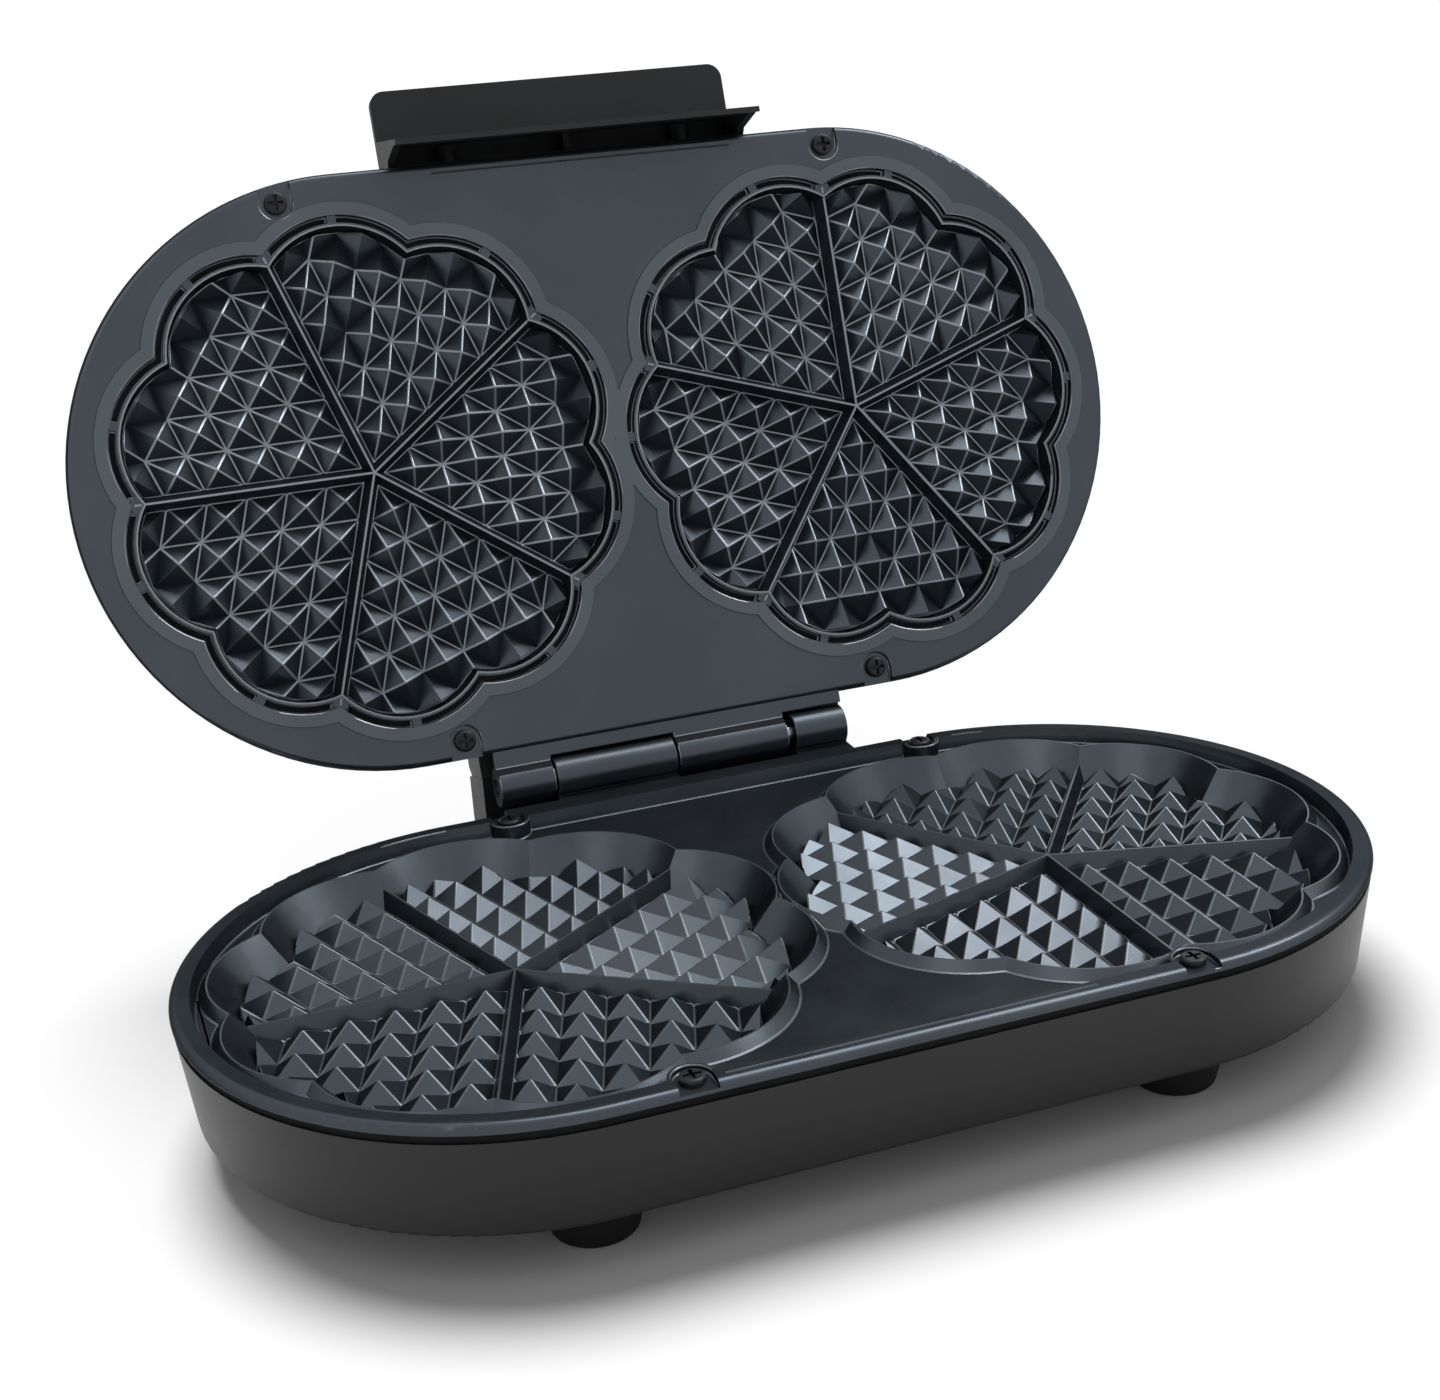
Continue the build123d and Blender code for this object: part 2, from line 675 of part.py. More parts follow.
def rear_housing():
    """Hollow block, open towards the housing's wall, with bosses for its screws."""
    seat = [(wall_radius(level) + block_fit, level) for level in (block_bottom, shelf_level)]
    top_front = lean_height(block_start) - lean_gap
    top_rear = lean_height(block_end) - lean_gap
    outline = seat[:1] + [(block_end, block_bottom), (block_end, top_rear), (block_start, top_front),
                          (block_start, shelf_level)] + seat[1:]
    solid_block = bar_x(outline, -block_half, block_half)
    w = block_wall
    open_end = end_radius - w
    cavity = [(open_end, block_bottom + w), (block_end - w, block_bottom + w), (block_end - w, top_rear - w),
              (block_start + w, top_front - w - 1), (block_start + w, shelf_level - w),
              (open_end, shelf_level - w)]
    block = solid_block - bar_x(cavity, -block_half + w, block_half - w)
    for x in (-block_screw_x, 0):
        turn = Pos(x, end_radius, rear_screw_z) * Rot(-90, 0, 0)
        block = block + (turn * post(0, 0, 0, block_end - end_radius - w / 2, block_boss) & solid_block)
        block = block - turn * post(0, 0, -1, short_screw_length + screw_reach, shank_radius + shank_play)
    hole = Pos(gland_x, block_end, gland_z) * Rot(90, 0, 0) * Cylinder(gland_radius + shank_play, 4 * w)
    return block - hole


def cord_gland():
    """Bush in the block's rear wall for the mains lead, with a flange on each side of the wall."""
    back = -gland_flange_height
    body = post(0, 0, back, block_wall + gland_flange_height, gland_radius)
    body = body + post(0, 0, back, -eps, gland_flange)
    body = body + post(0, 0, block_wall + 2 * eps, block_wall + gland_flange_height, gland_flange)
    body = body - post(0, 0, back - 1, block_wall + gland_flange_height + 1, gland_bore)
    return Pos(gland_x, block_end, gland_z) * Rot(90, 0, 0) * body


def lid_stop():
    """Block on the lid's rear wall, lid closed, whose rear face leans on the base's block when open."""
    top = plate_gap - end_level - lid_round
    front = [(lid_wall_y(z), z) for z in (top, lid_block_low)]
    outline = front + [(lean_face, lid_block_low), (lean_face, top - lid_block_slope),
                       (lean_face - lid_block_slope, top)]
    block = bar_x(outline, -block_half, block_half)
    for x in (-block_screw_x, block_screw_x):
        hole = Pos(x, inner_wall_y(lid_stop_screw_z), lid_stop_screw_z) * Rot(-90, 0, 0)
        block = block - hole * post(0, 0, -1, short_screw_length, shank_radius + shank_play)
    return block


def lid_wall_y(z):
    """Seat on the closed lid's straight wall at this height, as a positive y."""
    return wall_radius(plate_gap - z) + block_fit


def inner_wall_y(z):
    """Inner face of the same wall."""
    return lid_wall_y(z) - block_fit - housing_wall


# Handle, lid closed
def handle():
    """Tab along the front, a panel down over the base's edge, a cheek at each end and a back wall."""
    top = tab_low + tab_thickness
    low = handle_back_low
    cheek_low = plate_gap + rim_drop + cheek_lift

    def wall_y(z, out=0.0):
        return -lid_wall_y(z) - out

    tab = bar_x([(tab_front, tab_low), (tab_front, top), (wall_y(top), top), (wall_y(tab_low), tab_low)],
                handle_left, handle_right)
    tab = fillet(tab.edges().filter_by(Axis.Z).sort_by(Axis.Y)[:2], tab_corner)
    run = hypot(tip_y - root_y, tab_low - tip_z)
    inset = panel_wall * run / (tab_low - tip_z)
    inside = tab_low + tab_thickness / 2
    panel = bar_x([(root_y, inside), (root_y, tab_low), (tip_y, tip_z), (tip_y + panel_taper * inset, tip_z),
                   (root_y + inset, tab_low), (root_y + inset, inside)], handle_left, handle_right)
    back = bar_x([(wall_y(low), low), (wall_y(inside), inside), (wall_y(inside, handle_back), inside),
                  (wall_y(low, handle_back), low)], handle_left, handle_right)
    body = tab + panel + back
    corner = (wall_y(cheek_low, handle_back), cheek_low - handle_back)
    side = [(root_y + 1, inside), (tip_y + 0.8, tip_z + 1), corner, (wall_y(cheek_low), cheek_low),
            (wall_y(inside), inside)]
    for x0 in (handle_left, handle_right - panel_wall):
        body = body + bar_x(side, x0, x0 + panel_wall)
    rib_low = handle_screw_z - handle_boss
    half = panel_wall / 2
    body = body + bar_x([(root_y + 1, inside), (root_y + 4, rib_low), (wall_y(rib_low, 1), rib_low),
                         (wall_y(inside, 1), inside)], -half, half)
    at_wall = wall_y(handle_screw_z)
    turn = Rot(90, 0, 0)
    for x in (-handle_screw_x, handle_screw_x):
        boss = turn * post(0, 0, handle_back / 2, handle_boss_length, handle_boss)
        body = body + Pos(x, at_wall, handle_screw_z) * boss
        hole = post(0, 0, -1, short_screw_length, shank_radius + shank_play)
        body = body - Pos(x, at_wall, handle_screw_z) * turn * hole
    return body


def lens(x):
    """Lamp lens, drawn in the upper housing's frame with its dome outside the closed end."""
    dome = post(x, lens_y, end_level - lens_rise, floor_level + 0.1, lens_radius)
    dome = fillet(dome.edges().sort_by(Axis.Z)[0], 1.2)
    return dome + post(x, lens_y, floor_level + eps, floor_level + lens_flange_height, lens_flange)


def lamp_holder():
    """Carrier that holds the two lamps over their lenses, on a leg at each end."""
    level = lamp_level + lamp_radius + eps
    leg_x = lens_x + lens_flange + lamp_leg_radius + 0.3
    reach = leg_x + lamp_leg_radius
    side = lamp_board_width / 2
    board = box(-reach, reach, lens_y - side, lens_y + side, level, level + lamp_board_thickness)
    for x in (-leg_x, leg_x):
        board = board + post(x, lens_y, floor_level + eps, level + lamp_board_thickness / 2, lamp_leg_radius)
    return board


def lamps():
    one = Rot(90, 0, 0) * Cylinder(lamp_radius, lamp_length)
    return [Pos(side * lens_x, lens_y, lamp_level) * one for side in (-1, 1)]


# Feet
def foot_places():
    return [(sx * foot_x, sy * foot_y) for sx in (-1, 1) for sy in (-1, 1)]


def foot():
    bottom = (Align.CENTER, Align.CENTER, Align.MIN)
    body = Cone(foot_end_radius, foot_top_radius, foot_height, align=bottom)
    body = fillet(body.edges().sort_by(Axis.Z)[0], foot_round)
    body = body - post(0, 0, -1, foot_bore_depth, foot_bore)
    return body - post(0, 0, 0, foot_height + 1, shank_radius + shank_play)


def foot_screw_level():
    return end_level - foot_height + foot_bore_depth


# Leads, from the cold pins to the terminals and the lamps
def pin_end(side, row, depth):
    """Free end of a cold pin, and the way it points. Side -1 is the left mould, row 1 the rear pin."""
    angle = radians((360 - element_arc) / 2)
    level = -depth - mould_skin - element_gap - element_tube
    x = element_radius * cos(angle) + pin_length * sin(angle)
    y = element_radius * sin(angle) - pin_length * cos(angle)
    end = Vector(side * (mould_offset - x), row * y, level)
    return end, Vector(-side * sin(angle), -row * cos(angle), 0)


def lead(points, radius):
    path = FilletPolyline(*points, radius=radius)
    section = Plane(path @ 0, z_dir=path % 0) * Circle(lead_radius)
    return sweep(section, path=path)


def link(depth):
    """Lead between the two front pins."""
    (left, away_left), (right, away_right) = pin_end(-1, -1, depth), pin_end(1, -1, depth)
    return lead([left + away_left * eps, left + away_left * lead_run, right + away_right * lead_run,
                 right + away_right * eps], lead_bend / 2)


def lower_leads():
    leads = [link(lower_depth)]
    for side in (-1, 1):
        end, away = pin_end(side, 1, lower_depth)
        near = end + away * lead_run
        front = terminal_y - terminal_size[1] / 2
        port = Vector(side * terminal_cell, front - eps, floor_level + terminal_port_z)
        before = port - Vector(0, lead_run, 0)
        leads.append(lead([end + away * eps, near, before, port], lead_bend / 2))
    return leads


def upper_leads():
    return [link(upper_depth)]


# Assembly
def turn_over(piece):
    """From face up, like the base, to the closed lid."""
    return Pos(0, 0, plate_gap) * mirror(piece, about=Plane.XY)


def swing_open(piece):
    return piece.rotate(Axis((0, hinge_y, hinge_z), (1, 0, 0)), -open_angle)


def build():
    spans = hinge_spans()
    base = {}
    lid = {}

    base["lower_plate"] = lower_cast_plate((spans[1], spans[3]))
    upper = upper_cast_plate((spans[0], spans[2]))
    lower_bottom = -tray_depth - flange
    upper_bottom = -flange

    lower_shield_level = shield_level - shield_gap
    tub = housing(lower_screw_x, base_round, lower_bottom)
    tub = shield_posts(tub, lower_shield_level)
    for x, y in foot_places():
        tub = tub + post(x, y, floor_level - 1, floor_level + 5, boss_radius)
        tub = tub - post(x, y, end_level - 1, floor_level + 6, shank_radius + shank_play)
    across = Rot(90, 0, 0)
    tub = tub - Pos(gland_x, end_radius, gland_z) * across * Cylinder(wall_hole_radius, wall_cut)
    for x in (-block_screw_x, 0):
        tub = tub - Pos(x, end_radius, rear_screw_z) * across * Cylinder(shank_radius + shank_play, wall_cut)
    base["lower_housing"] = tub
    base["lower_seal"] = seal()
    base["lower_plate_screws"] = solids(plate_screws(lower_screw_x, lower_bottom))
    base["lower_element_left"] = element(-mould_offset, lower_depth)
    base["lower_element_right"] = element(mould_offset, lower_depth)
    base["lower_element_straps"] = solids(straps(lower_depth))
    base["lower_strap_screws"] = solids(strap_screws(lower_depth))
    base["lower_shield_left"] = shield(-mould_offset, lower_shield_level)
    base["lower_shield_right"] = shield(mould_offset, lower_shield_level)
    base["lower_shield_screws"] = solids(shield_screws(lower_shield_level))
    base["thermostat"] = thermostat(mould_offset, lower_depth)
    base["terminal_block"] = terminal_block()
    base["terminal_screws"] = solids(terminal_screws())
    base["rear_housing"] = rear_housing()
    rear_y = inner_wall_y(plate_gap - rear_screw_z) - head_seat
    outward = Rot(90, 0, 0) * screw(short_screw_length)
    base["rear_housing_screws"] = solids([Pos(x, rear_y, rear_screw_z) * outward for x in (-block_screw_x, 0)])
    base["lower_leads"] = solids(lower_leads())
    base["cord_gland"] = cord_gland()
    base["feet"] = solids([Pos(x, y, end_level - foot_height - eps) * foot() for x, y in foot_places()])
    foot_screw = Rot(180, 0, 0) * screw(foot_height - foot_bore_depth + housing_floor + 4)
    level = foot_screw_level() - 2 * eps
    base["foot_screws"] = solids([Pos(x, y, level) * foot_screw for x, y in foot_places()])
    base["hinge_pin"] = rod_x(pin_radius, -hinge_half + pin_inset, hinge_half - pin_inset)

    upper_shield_level = lower_shield_level + lower_depth - upper_depth
    cap = housing(upper_screw_x, lid_round, upper_bottom)
    cap = shield_posts(cap, upper_shield_level)
    for side in (-1, 1):
        cap = cap - post(side * lens_x, lens_y, end_level - 1, floor_level + 1, lens_radius + shank_play)
        hole = Pos(side * handle_screw_x, -end_radius, plate_gap - handle_screw_z)
        cap = cap - hole * across * Cylinder(shank_radius + shank_play, wall_cut)
        hole = Pos(side * block_screw_x, end_radius, plate_gap - lid_stop_screw_z)
        cap = cap - hole * across * Cylinder(shank_radius + shank_play, wall_cut)
    lid["upper_plate"] = turn_over(upper)
    lid["upper_housing"] = turn_over(cap)
    lid["upper_seal"] = turn_over(seal())
    screws = plate_screws(upper_screw_x, upper_bottom)
    lid["upper_plate_screws"] = solids([turn_over(piece) for piece in screws])
    lid["upper_element_left"] = turn_over(element(-mould_offset, upper_depth))
    lid["upper_element_right"] = turn_over(element(mould_offset, upper_depth))
    lid["upper_element_straps"] = solids([turn_over(piece) for piece in straps(upper_depth)])
    lid["upper_strap_screws"] = solids([turn_over(piece) for piece in strap_screws(upper_depth)])
    lid["upper_shield_left"] = turn_over(shield(-mould_offset, upper_shield_level))
    lid["upper_shield_right"] = turn_over(shield(mould_offset, upper_shield_level))
    lid["upper_shield_screws"] = solids([turn_over(piece) for piece in shield_screws(upper_shield_level)])
    lid["thermal_fuse"] = turn_over(fuse(-mould_offset, upper_depth))
    lid["power_lens"] = turn_over(lens(-lens_x))
    lid["ready_lens"] = turn_over(lens(lens_x))
    lid["lamp_holder"] = turn_over(lamp_holder())
    lid["lamps"] = solids([turn_over(piece) for piece in lamps()])
    lid["lid_stop"] = lid_stop()
    lid["handle"] = handle()
    head_y = -inner_wall_y(handle_screw_z) + head_seat
    inward = Rot(-90, 0, 0) * screw(short_screw_length)
    lid["handle_screws"] = solids([Pos(x, head_y, handle_screw_z) * inward
                                   for x in (-handle_screw_x, handle_screw_x)])
    stop_z = lid_stop_screw_z
    outward = Rot(90, 0, 0) * screw(short_screw_length)
    lid["lid_stop_screws"] = solids([Pos(x, inner_wall_y(stop_z) - head_seat, stop_z) * outward
                                     for x in (-block_screw_x, block_screw_x)])
    lid["upper_leads"] = solids([turn_over(piece) for piece in upper_leads()])
    return base, lid


def main():
    base, lid = build()
    placed = dict(base)
    placed.update({name: swing_open(piece) for name, piece in lid.items()})
    outer_names = ("lower_plate", "feet", "rear_housing", "cord_gland", "upper_housing", "handle")
    outer_solids = [solid for name in outer_names for solid in placed[name].solids()]
    outline = Compound(children=outer_solids).bounding_box()
    shift = Vector(-outline.center().X, -outline.center().Y, -outline.min.Z)
    os.makedirs("parts", exist_ok=True)
    for name, piece in placed.items():
        moved = piece.moved(Location(shift))
        export_step(moved, f"parts/{name}.step")
    print("size", outline.size, "shift", shift)
    print("hinge", 0, hinge_y + shift.Y, hinge_z + shift.Z, "range", 0, open_angle)
    print("foot face", foot_x, -foot_y + shift.Y, end_level - foot_height + shift.Z)


main()
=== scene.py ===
import json
import math

import bmesh
import bpy
from mathutils import Matrix, Vector
from mathutils.kdtree import KDTree


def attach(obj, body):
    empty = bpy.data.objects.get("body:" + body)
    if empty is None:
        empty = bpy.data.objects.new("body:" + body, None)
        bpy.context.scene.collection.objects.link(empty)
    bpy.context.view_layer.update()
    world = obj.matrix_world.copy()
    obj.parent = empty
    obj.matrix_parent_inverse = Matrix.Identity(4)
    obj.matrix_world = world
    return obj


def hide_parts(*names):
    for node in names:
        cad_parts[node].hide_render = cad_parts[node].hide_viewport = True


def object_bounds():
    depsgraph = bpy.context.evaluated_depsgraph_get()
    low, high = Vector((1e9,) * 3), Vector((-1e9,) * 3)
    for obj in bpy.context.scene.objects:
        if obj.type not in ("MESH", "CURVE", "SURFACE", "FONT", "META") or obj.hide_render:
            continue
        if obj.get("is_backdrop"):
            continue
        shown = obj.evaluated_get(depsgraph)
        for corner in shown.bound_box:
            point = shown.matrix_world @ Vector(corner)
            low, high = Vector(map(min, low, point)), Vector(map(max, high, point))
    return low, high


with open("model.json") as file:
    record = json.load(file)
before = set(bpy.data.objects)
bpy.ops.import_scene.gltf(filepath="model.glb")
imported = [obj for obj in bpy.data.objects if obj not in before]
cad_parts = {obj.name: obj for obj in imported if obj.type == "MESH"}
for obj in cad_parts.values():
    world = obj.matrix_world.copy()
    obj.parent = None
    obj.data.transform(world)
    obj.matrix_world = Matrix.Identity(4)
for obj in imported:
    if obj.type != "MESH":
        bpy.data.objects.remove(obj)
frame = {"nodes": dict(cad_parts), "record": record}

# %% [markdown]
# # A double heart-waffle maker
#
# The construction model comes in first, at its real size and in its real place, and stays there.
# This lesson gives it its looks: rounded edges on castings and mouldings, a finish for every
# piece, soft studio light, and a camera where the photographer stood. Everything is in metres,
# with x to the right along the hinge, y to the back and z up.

MM = 0.001
cad_pieces = frame["nodes"]
size_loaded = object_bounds()
print("pieces in the frame:", len(cad_pieces))
sides = size_loaded[1] - size_loaded[0]
print("size of the frame in mm:", [round(side / MM, 1) for side in sides])

# %% [markdown]
# ## The camera
#
# A product photograph is a perspective from one point. Setting a camera by eye always leaves the
# far end of the body too big or too small. Here the place, the two angles and the slight roll were
# worked out from the outline of the body and the hearts, so the model falls onto the photograph.
# The lens is written as a focal length in pixels first, because that is what such a fit gives.

# %% Place the camera
photo_width = 1440
focal_pixels = 2100.2
sensor_width = 36.0
far_clip = 50.0
camera_place = Vector((-200.6, -594.3, 318.2)) * MM
look_azimuth = math.radians(-18.52)
look_elevation = math.radians(19.735)
camera_roll = math.radians(-3.81)


def camera_axes(azimuth, elevation, roll):
    """Right, up and backward directions of the camera, as the columns of a matrix."""
    flat = math.cos(elevation)
    back = Vector((math.sin(azimuth) * flat, -math.cos(azimuth) * flat, math.sin(elevation)))
    right = Vector((0, 0, 1)).cross(back).normalized()
    up = back.cross(right)
    rolled_right = math.cos(roll) * right + math.sin(roll) * up
    rolled_up = math.cos(roll) * up - math.sin(roll) * right
    return Matrix((rolled_right, rolled_up, back)).transposed()


camera_data = bpy.data.cameras.new("photo_camera")
camera_data.sensor_width = sensor_width
camera_data.lens = focal_pixels * sensor_width / photo_width
camera_data.clip_end = far_clip
camera = bpy.data.objects.new("photo_camera", camera_data)
turn = camera_axes(look_azimuth, look_elevation, camera_roll).to_4x4()
camera.matrix_world = Matrix.Translation(camera_place) @ turn
bpy.context.scene.collection.objects.link(camera)
bpy.context.scene.camera = camera
print("lens in mm:", round(camera_data.lens, 1))

# %% [markdown]
# ## Light
#
# In the photograph broad lamps hang overhead and to the right, and the shadow falls towards the
# camera. Area lamps would do, but they fade with distance and leave the floor uneven. Suns with a
# wide angle act like softboxes that are far away: shadows are soft and the floor is lit evenly.
# One sun is for the floor and its shadow, and three are for the cooker.

# %% Hang the lamps
def softbox(name, azimuth, elevation, strength, angle):
    """Sun lamp that shines from that direction. Azimuth 0 is the front and 90 the right."""
    lamp = bpy.data.lights.new(name, "SUN")
    lamp.energy = strength
    lamp.angle = math.radians(angle)
    holder = bpy.data.objects.new(name, lamp)
    turn, lift = math.radians(azimuth), math.radians(elevation)
    flat = math.cos(lift)
    source = Vector((math.sin(turn) * flat, -math.cos(turn) * flat, math.sin(lift)))
    holder.rotation_mode = "QUATERNION"
    holder.rotation_quaternion = source.to_track_quat("Z", "Y")
    bpy.context.scene.collection.objects.link(holder)
    return holder


shadow_light = softbox("shadow_light", azimuth=180, elevation=68, strength=2.95, angle=32)
cooker_lights = [
    softbox("top_light", azimuth=125, elevation=69, strength=1.5, angle=34),
    softbox("right_light", azimuth=84, elevation=50, strength=1.7, angle=24),
    softbox("left_light", azimuth=-50, elevation=52, strength=0.2, angle=30),
]

# %% [markdown]
# ## White surroundings
#
# The background is plain white. If the whole world were that bright it would wash out the dark
# pieces, so only the rays that look at it directly, or by way of a reflection, see it white.
# The rays that carry soft light from surface to surface see a dimmer grey.

# %% Paint the world
ambient_level = 0.28
world = bpy.data.worlds.new("studio")
bpy.context.scene.world = world
world.use_nodes = True
world_tree = world.node_tree
world_tree.nodes.clear()


def white_seen(tree):
    """1 for rays from the camera, from a reflection or through glass, and 0 for the others."""
    path = tree.nodes.new("ShaderNodeLightPath")
    total = path.outputs["Is Camera Ray"]
    for name in ("Is Glossy Ray", "Is Transmission Ray"):
        adder = tree.nodes.new("ShaderNodeMath")
        adder.operation = "MAXIMUM"
        tree.links.new(total, adder.inputs[0])
        tree.links.new(path.outputs[name], adder.inputs[1])
        total = adder.outputs[0]
    return total


def world_background(strength):
    """White surroundings of that strength."""
    background = world_tree.nodes.new("ShaderNodeBackground")
    background.inputs["Color"].default_value = (1, 1, 1, 1)
    background.inputs["Strength"].default_value = strength
    return background.outputs[0]


world_mix = world_tree.nodes.new("ShaderNodeMixShader")
world_out = world_tree.nodes.new("ShaderNodeOutputWorld")
world_tree.links.new(white_seen(world_tree), world_mix.inputs[0])
world_tree.links.new(world_background(ambient_level), world_mix.inputs[1])
world_tree.links.new(world_background(1.0), world_mix.inputs[2])
world_tree.links.new(world_mix.outputs[0], world_out.inputs["Surface"])
bpy.context.scene.view_settings.view_transform = "Standard"
print("ambient level:", ambient_level)

# %% [markdown]
# ## The floor
#
# A white sheet of paper lies under the cooker. It is a plain disc, large enough that its far edge
# is lost against the white world. A paper rendered without help comes out a shade under white, and
# turning the lamps up would bleach the cooker. So the paper gets a trace of light of its own, which
# only the camera and reflections see. It is too little to wash out the shadow.

# %% Lay the floor
floor_radius = 6.0
floor_sides = 96
turns = [2 * math.pi * side / floor_sides for side in range(floor_sides)]
ring = [(floor_radius * math.cos(turn), floor_radius * math.sin(turn), 0) for turn in turns]
floor_mesh = bpy.data.meshes.new("floor")
floor_mesh.from_pydata(ring, [], [range(floor_sides)])
floor = bpy.data.objects.new("floor", floor_mesh)
bpy.context.scene.collection.objects.link(floor)
floor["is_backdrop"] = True

paper_tone = 0.9
paper_lift = 0.01
paper = bpy.data.materials.new("white_paper")
paper.use_nodes = True
paper_tree = paper.node_tree
paper_shader = paper_tree.nodes["Principled BSDF"]
paper_shader.inputs["Base Color"].default_value = (paper_tone, paper_tone, paper_tone, 1)
paper_shader.inputs["Roughness"].default_value = 1.0
paper_shader.inputs["Specular IOR Level"].default_value = 0.0
paper_shader.inputs["Emission Color"].default_value = (1, 1, 1, 1)
lift = paper_tree.nodes.new("ShaderNodeMath")
lift.operation = "MULTIPLY"
lift.inputs[1].default_value = paper_lift
paper_tree.links.new(white_seen(paper_tree), lift.inputs[0])
paper_tree.links.new(lift.outputs[0], paper_shader.inputs["Emission Strength"])
floor_mesh.materials.append(paper)
print("floor radius in m:", floor_radius)

# %% [markdown]
# ## Sharing out the light
#
# A shadow that falls forward wants a lamp high at the back, and a dark cooker wants its light from
# above and from the right. A studio would take two exposures and print them together. Light linking
# does the same in one: a lamp is given a collection that says which pieces it may light. The floor
# is included for the shadow's lamp, and left out for the other three.

# %% Share out the light
def link_light(lamps, name, state):
    """Lamps light the floor alone if state is INCLUDE, and everything else if it is EXCLUDE."""
    group = bpy.data.collections.new(name)
    group.objects.link(floor)
    group.collection_objects[0].light_linking.link_state = state
    for lamp in lamps:
        lamp.light_linking.receiver_collection = group


link_light([shadow_light], "floor_only", "INCLUDE")
link_light(cooker_lights, "cooker_only", "EXCLUDE")
print("lights for the cooker:", [lamp.name for lamp in cooker_lights])

# %% [markdown]
# ## One recipe for all finishes
#
# No real surface is one flat colour. Dust, wear and the grain of the mould change its tone, its
# gloss and its height a little from place to place. Photographs of such surfaces would need
# unwrapping and would stretch on round walls. Noise worked out in space needs neither, so every
# finish here is the same short recipe of noise with its own numbers: two tones that drift into
# each other, a span of roughness, and a fine grain that tips the surface a little.

# %% Write the recipe
noise_low, noise_high = 0.3, 0.7
gloss_ratio = 3.1


def drift(tree, scale, detail):
    """Noise between 0 and 1 that is fixed to the piece. Scale is in ups and downs per metre."""
    place = tree.nodes.new("ShaderNodeTexCoord")
    noise = tree.nodes.new("ShaderNodeTexNoise")
    noise.inputs["Scale"].default_value = scale
    noise.inputs["Detail"].default_value = detail
    tree.links.new(place.outputs["Object"], noise.inputs["Vector"])
    return noise.outputs["Fac"]


def spread(tree, amount, low, high):
    """Stretches the middle of that noise over the range from low to high."""
    ranger = tree.nodes.new("ShaderNodeMapRange")
    ranger.inputs["From Min"].default_value = noise_low
    ranger.inputs["From Max"].default_value = noise_high
    ranger.inputs["To Min"].default_value = low
    ranger.inputs["To Max"].default_value = high
    tree.links.new(amount, ranger.inputs["Value"])
    return ranger.outputs["Result"]


def blend(tree, amount, dark, light):
    """Colour between dark and light, by amount."""
    mixer = tree.nodes.new("ShaderNodeMix")
    mixer.data_type = "RGBA"
    mixer.inputs["A"].default_value = (*dark, 1)
    mixer.inputs["B"].default_value = (*light, 1)
    tree.links.new(amount, mixer.inputs["Factor"])
    return mixer.outputs["Result"]


def finish(name, dark, light, rough, grain=(900.0, 0.02), tone_scale=18.0, metal=0.0,
           specular=0.5, glance=1.0):
    """Material with two tones, a span of roughness and a grain of (scale, depth in mm).

    Gloss drifts in smaller patches than tone. Glance below 1 dims what a metal reflects at a
    grazing angle.
    """
    material = bpy.data.materials.new(name)
    material.use_nodes = True
    tree = material.node_tree
    shader = tree.nodes["Principled BSDF"]
    tone = spread(tree, drift(tree, tone_scale, 4.0), 0.0, 1.0)
    tree.links.new(blend(tree, tone, dark, light), shader.inputs["Base Color"])
    gloss = spread(tree, drift(tree, gloss_ratio * tone_scale, 3.0), *rough)
    tree.links.new(gloss, shader.inputs["Roughness"])
    bump = tree.nodes.new("ShaderNodeBump")
    bump.inputs["Strength"].default_value = 1.0
    bump.inputs["Distance"].default_value = grain[1] * MM
    tree.links.new(drift(tree, grain[0], 2.0), bump.inputs["Height"])
    tree.links.new(bump.outputs["Normal"], shader.inputs["Normal"])
    shader.inputs["Metallic"].default_value = metal
    shader.inputs["Specular IOR Level"].default_value = specular
    shader.inputs["Specular Tint"].default_value = (glance, glance, glance, 1)
    return material


def paint(node, *materials):
    """Gives a piece its materials by way of its own slots, so that its mesh stays untouched."""
    while len(node.material_slots) < len(materials):
        node.data.materials.append(None)
    for slot, material in zip(node.material_slots, materials):
        slot.link = "OBJECT"
        slot.material = material


finishes = {}
print("recipe ready")

# %% [markdown]
# ## The coated castings
#
# The two plates are cast aluminium under a sprayed non-stick coating, slate grey with a soft
# gleam. Their rounded crests and valleys catch the light as thin bright lines, brighter than the
# faces. A single material would miss that, and painting the lines by hand would take thousands of
# strokes, so the rounded edges get a brother of the same coating, lighter and glossier, whose
# lighter colour is a painted highlight: much lighter in the lid, whose pattern shows as a net of
# bright lines, and a little in the base. Another brother, nearly black, is painted shade for the
# narrow grooves, the steps beside the bands and the turned-down border, and a last one, a little
# lighter than the coating, is painted light on the raised bands in the lid.

# %% Mix the coating
finishes["coated_plate"] = finish(
    "coating", (0.052, 0.062, 0.072), (0.067, 0.077, 0.089), (0.26, 0.34),
    grain=(1400.0, 0.014), metal=0.85, specular=0.22, glance=0.2)
# a lighter copy of the coating: painted light on the lid's raised bands
lid_band_painted_light = finish(
    "coating_painted_light_on_bands", (0.075, 0.086, 0.098), (0.095, 0.107, 0.12), (0.28, 0.36),
    grain=(1400.0, 0.012), metal=0.8, specular=0.22, glance=0.3)
# lighter, glossier copy for the lid's rounded edges: painted highlight, much lighter than the
# coating
lid_edge_painted_highlight = finish(
    "coating_painted_highlight_on_lid_edges", (0.17, 0.19, 0.215), (0.25, 0.275, 0.3), (0.28, 0.38),
    grain=(1400.0, 0.01), metal=0.5, specular=0.5)
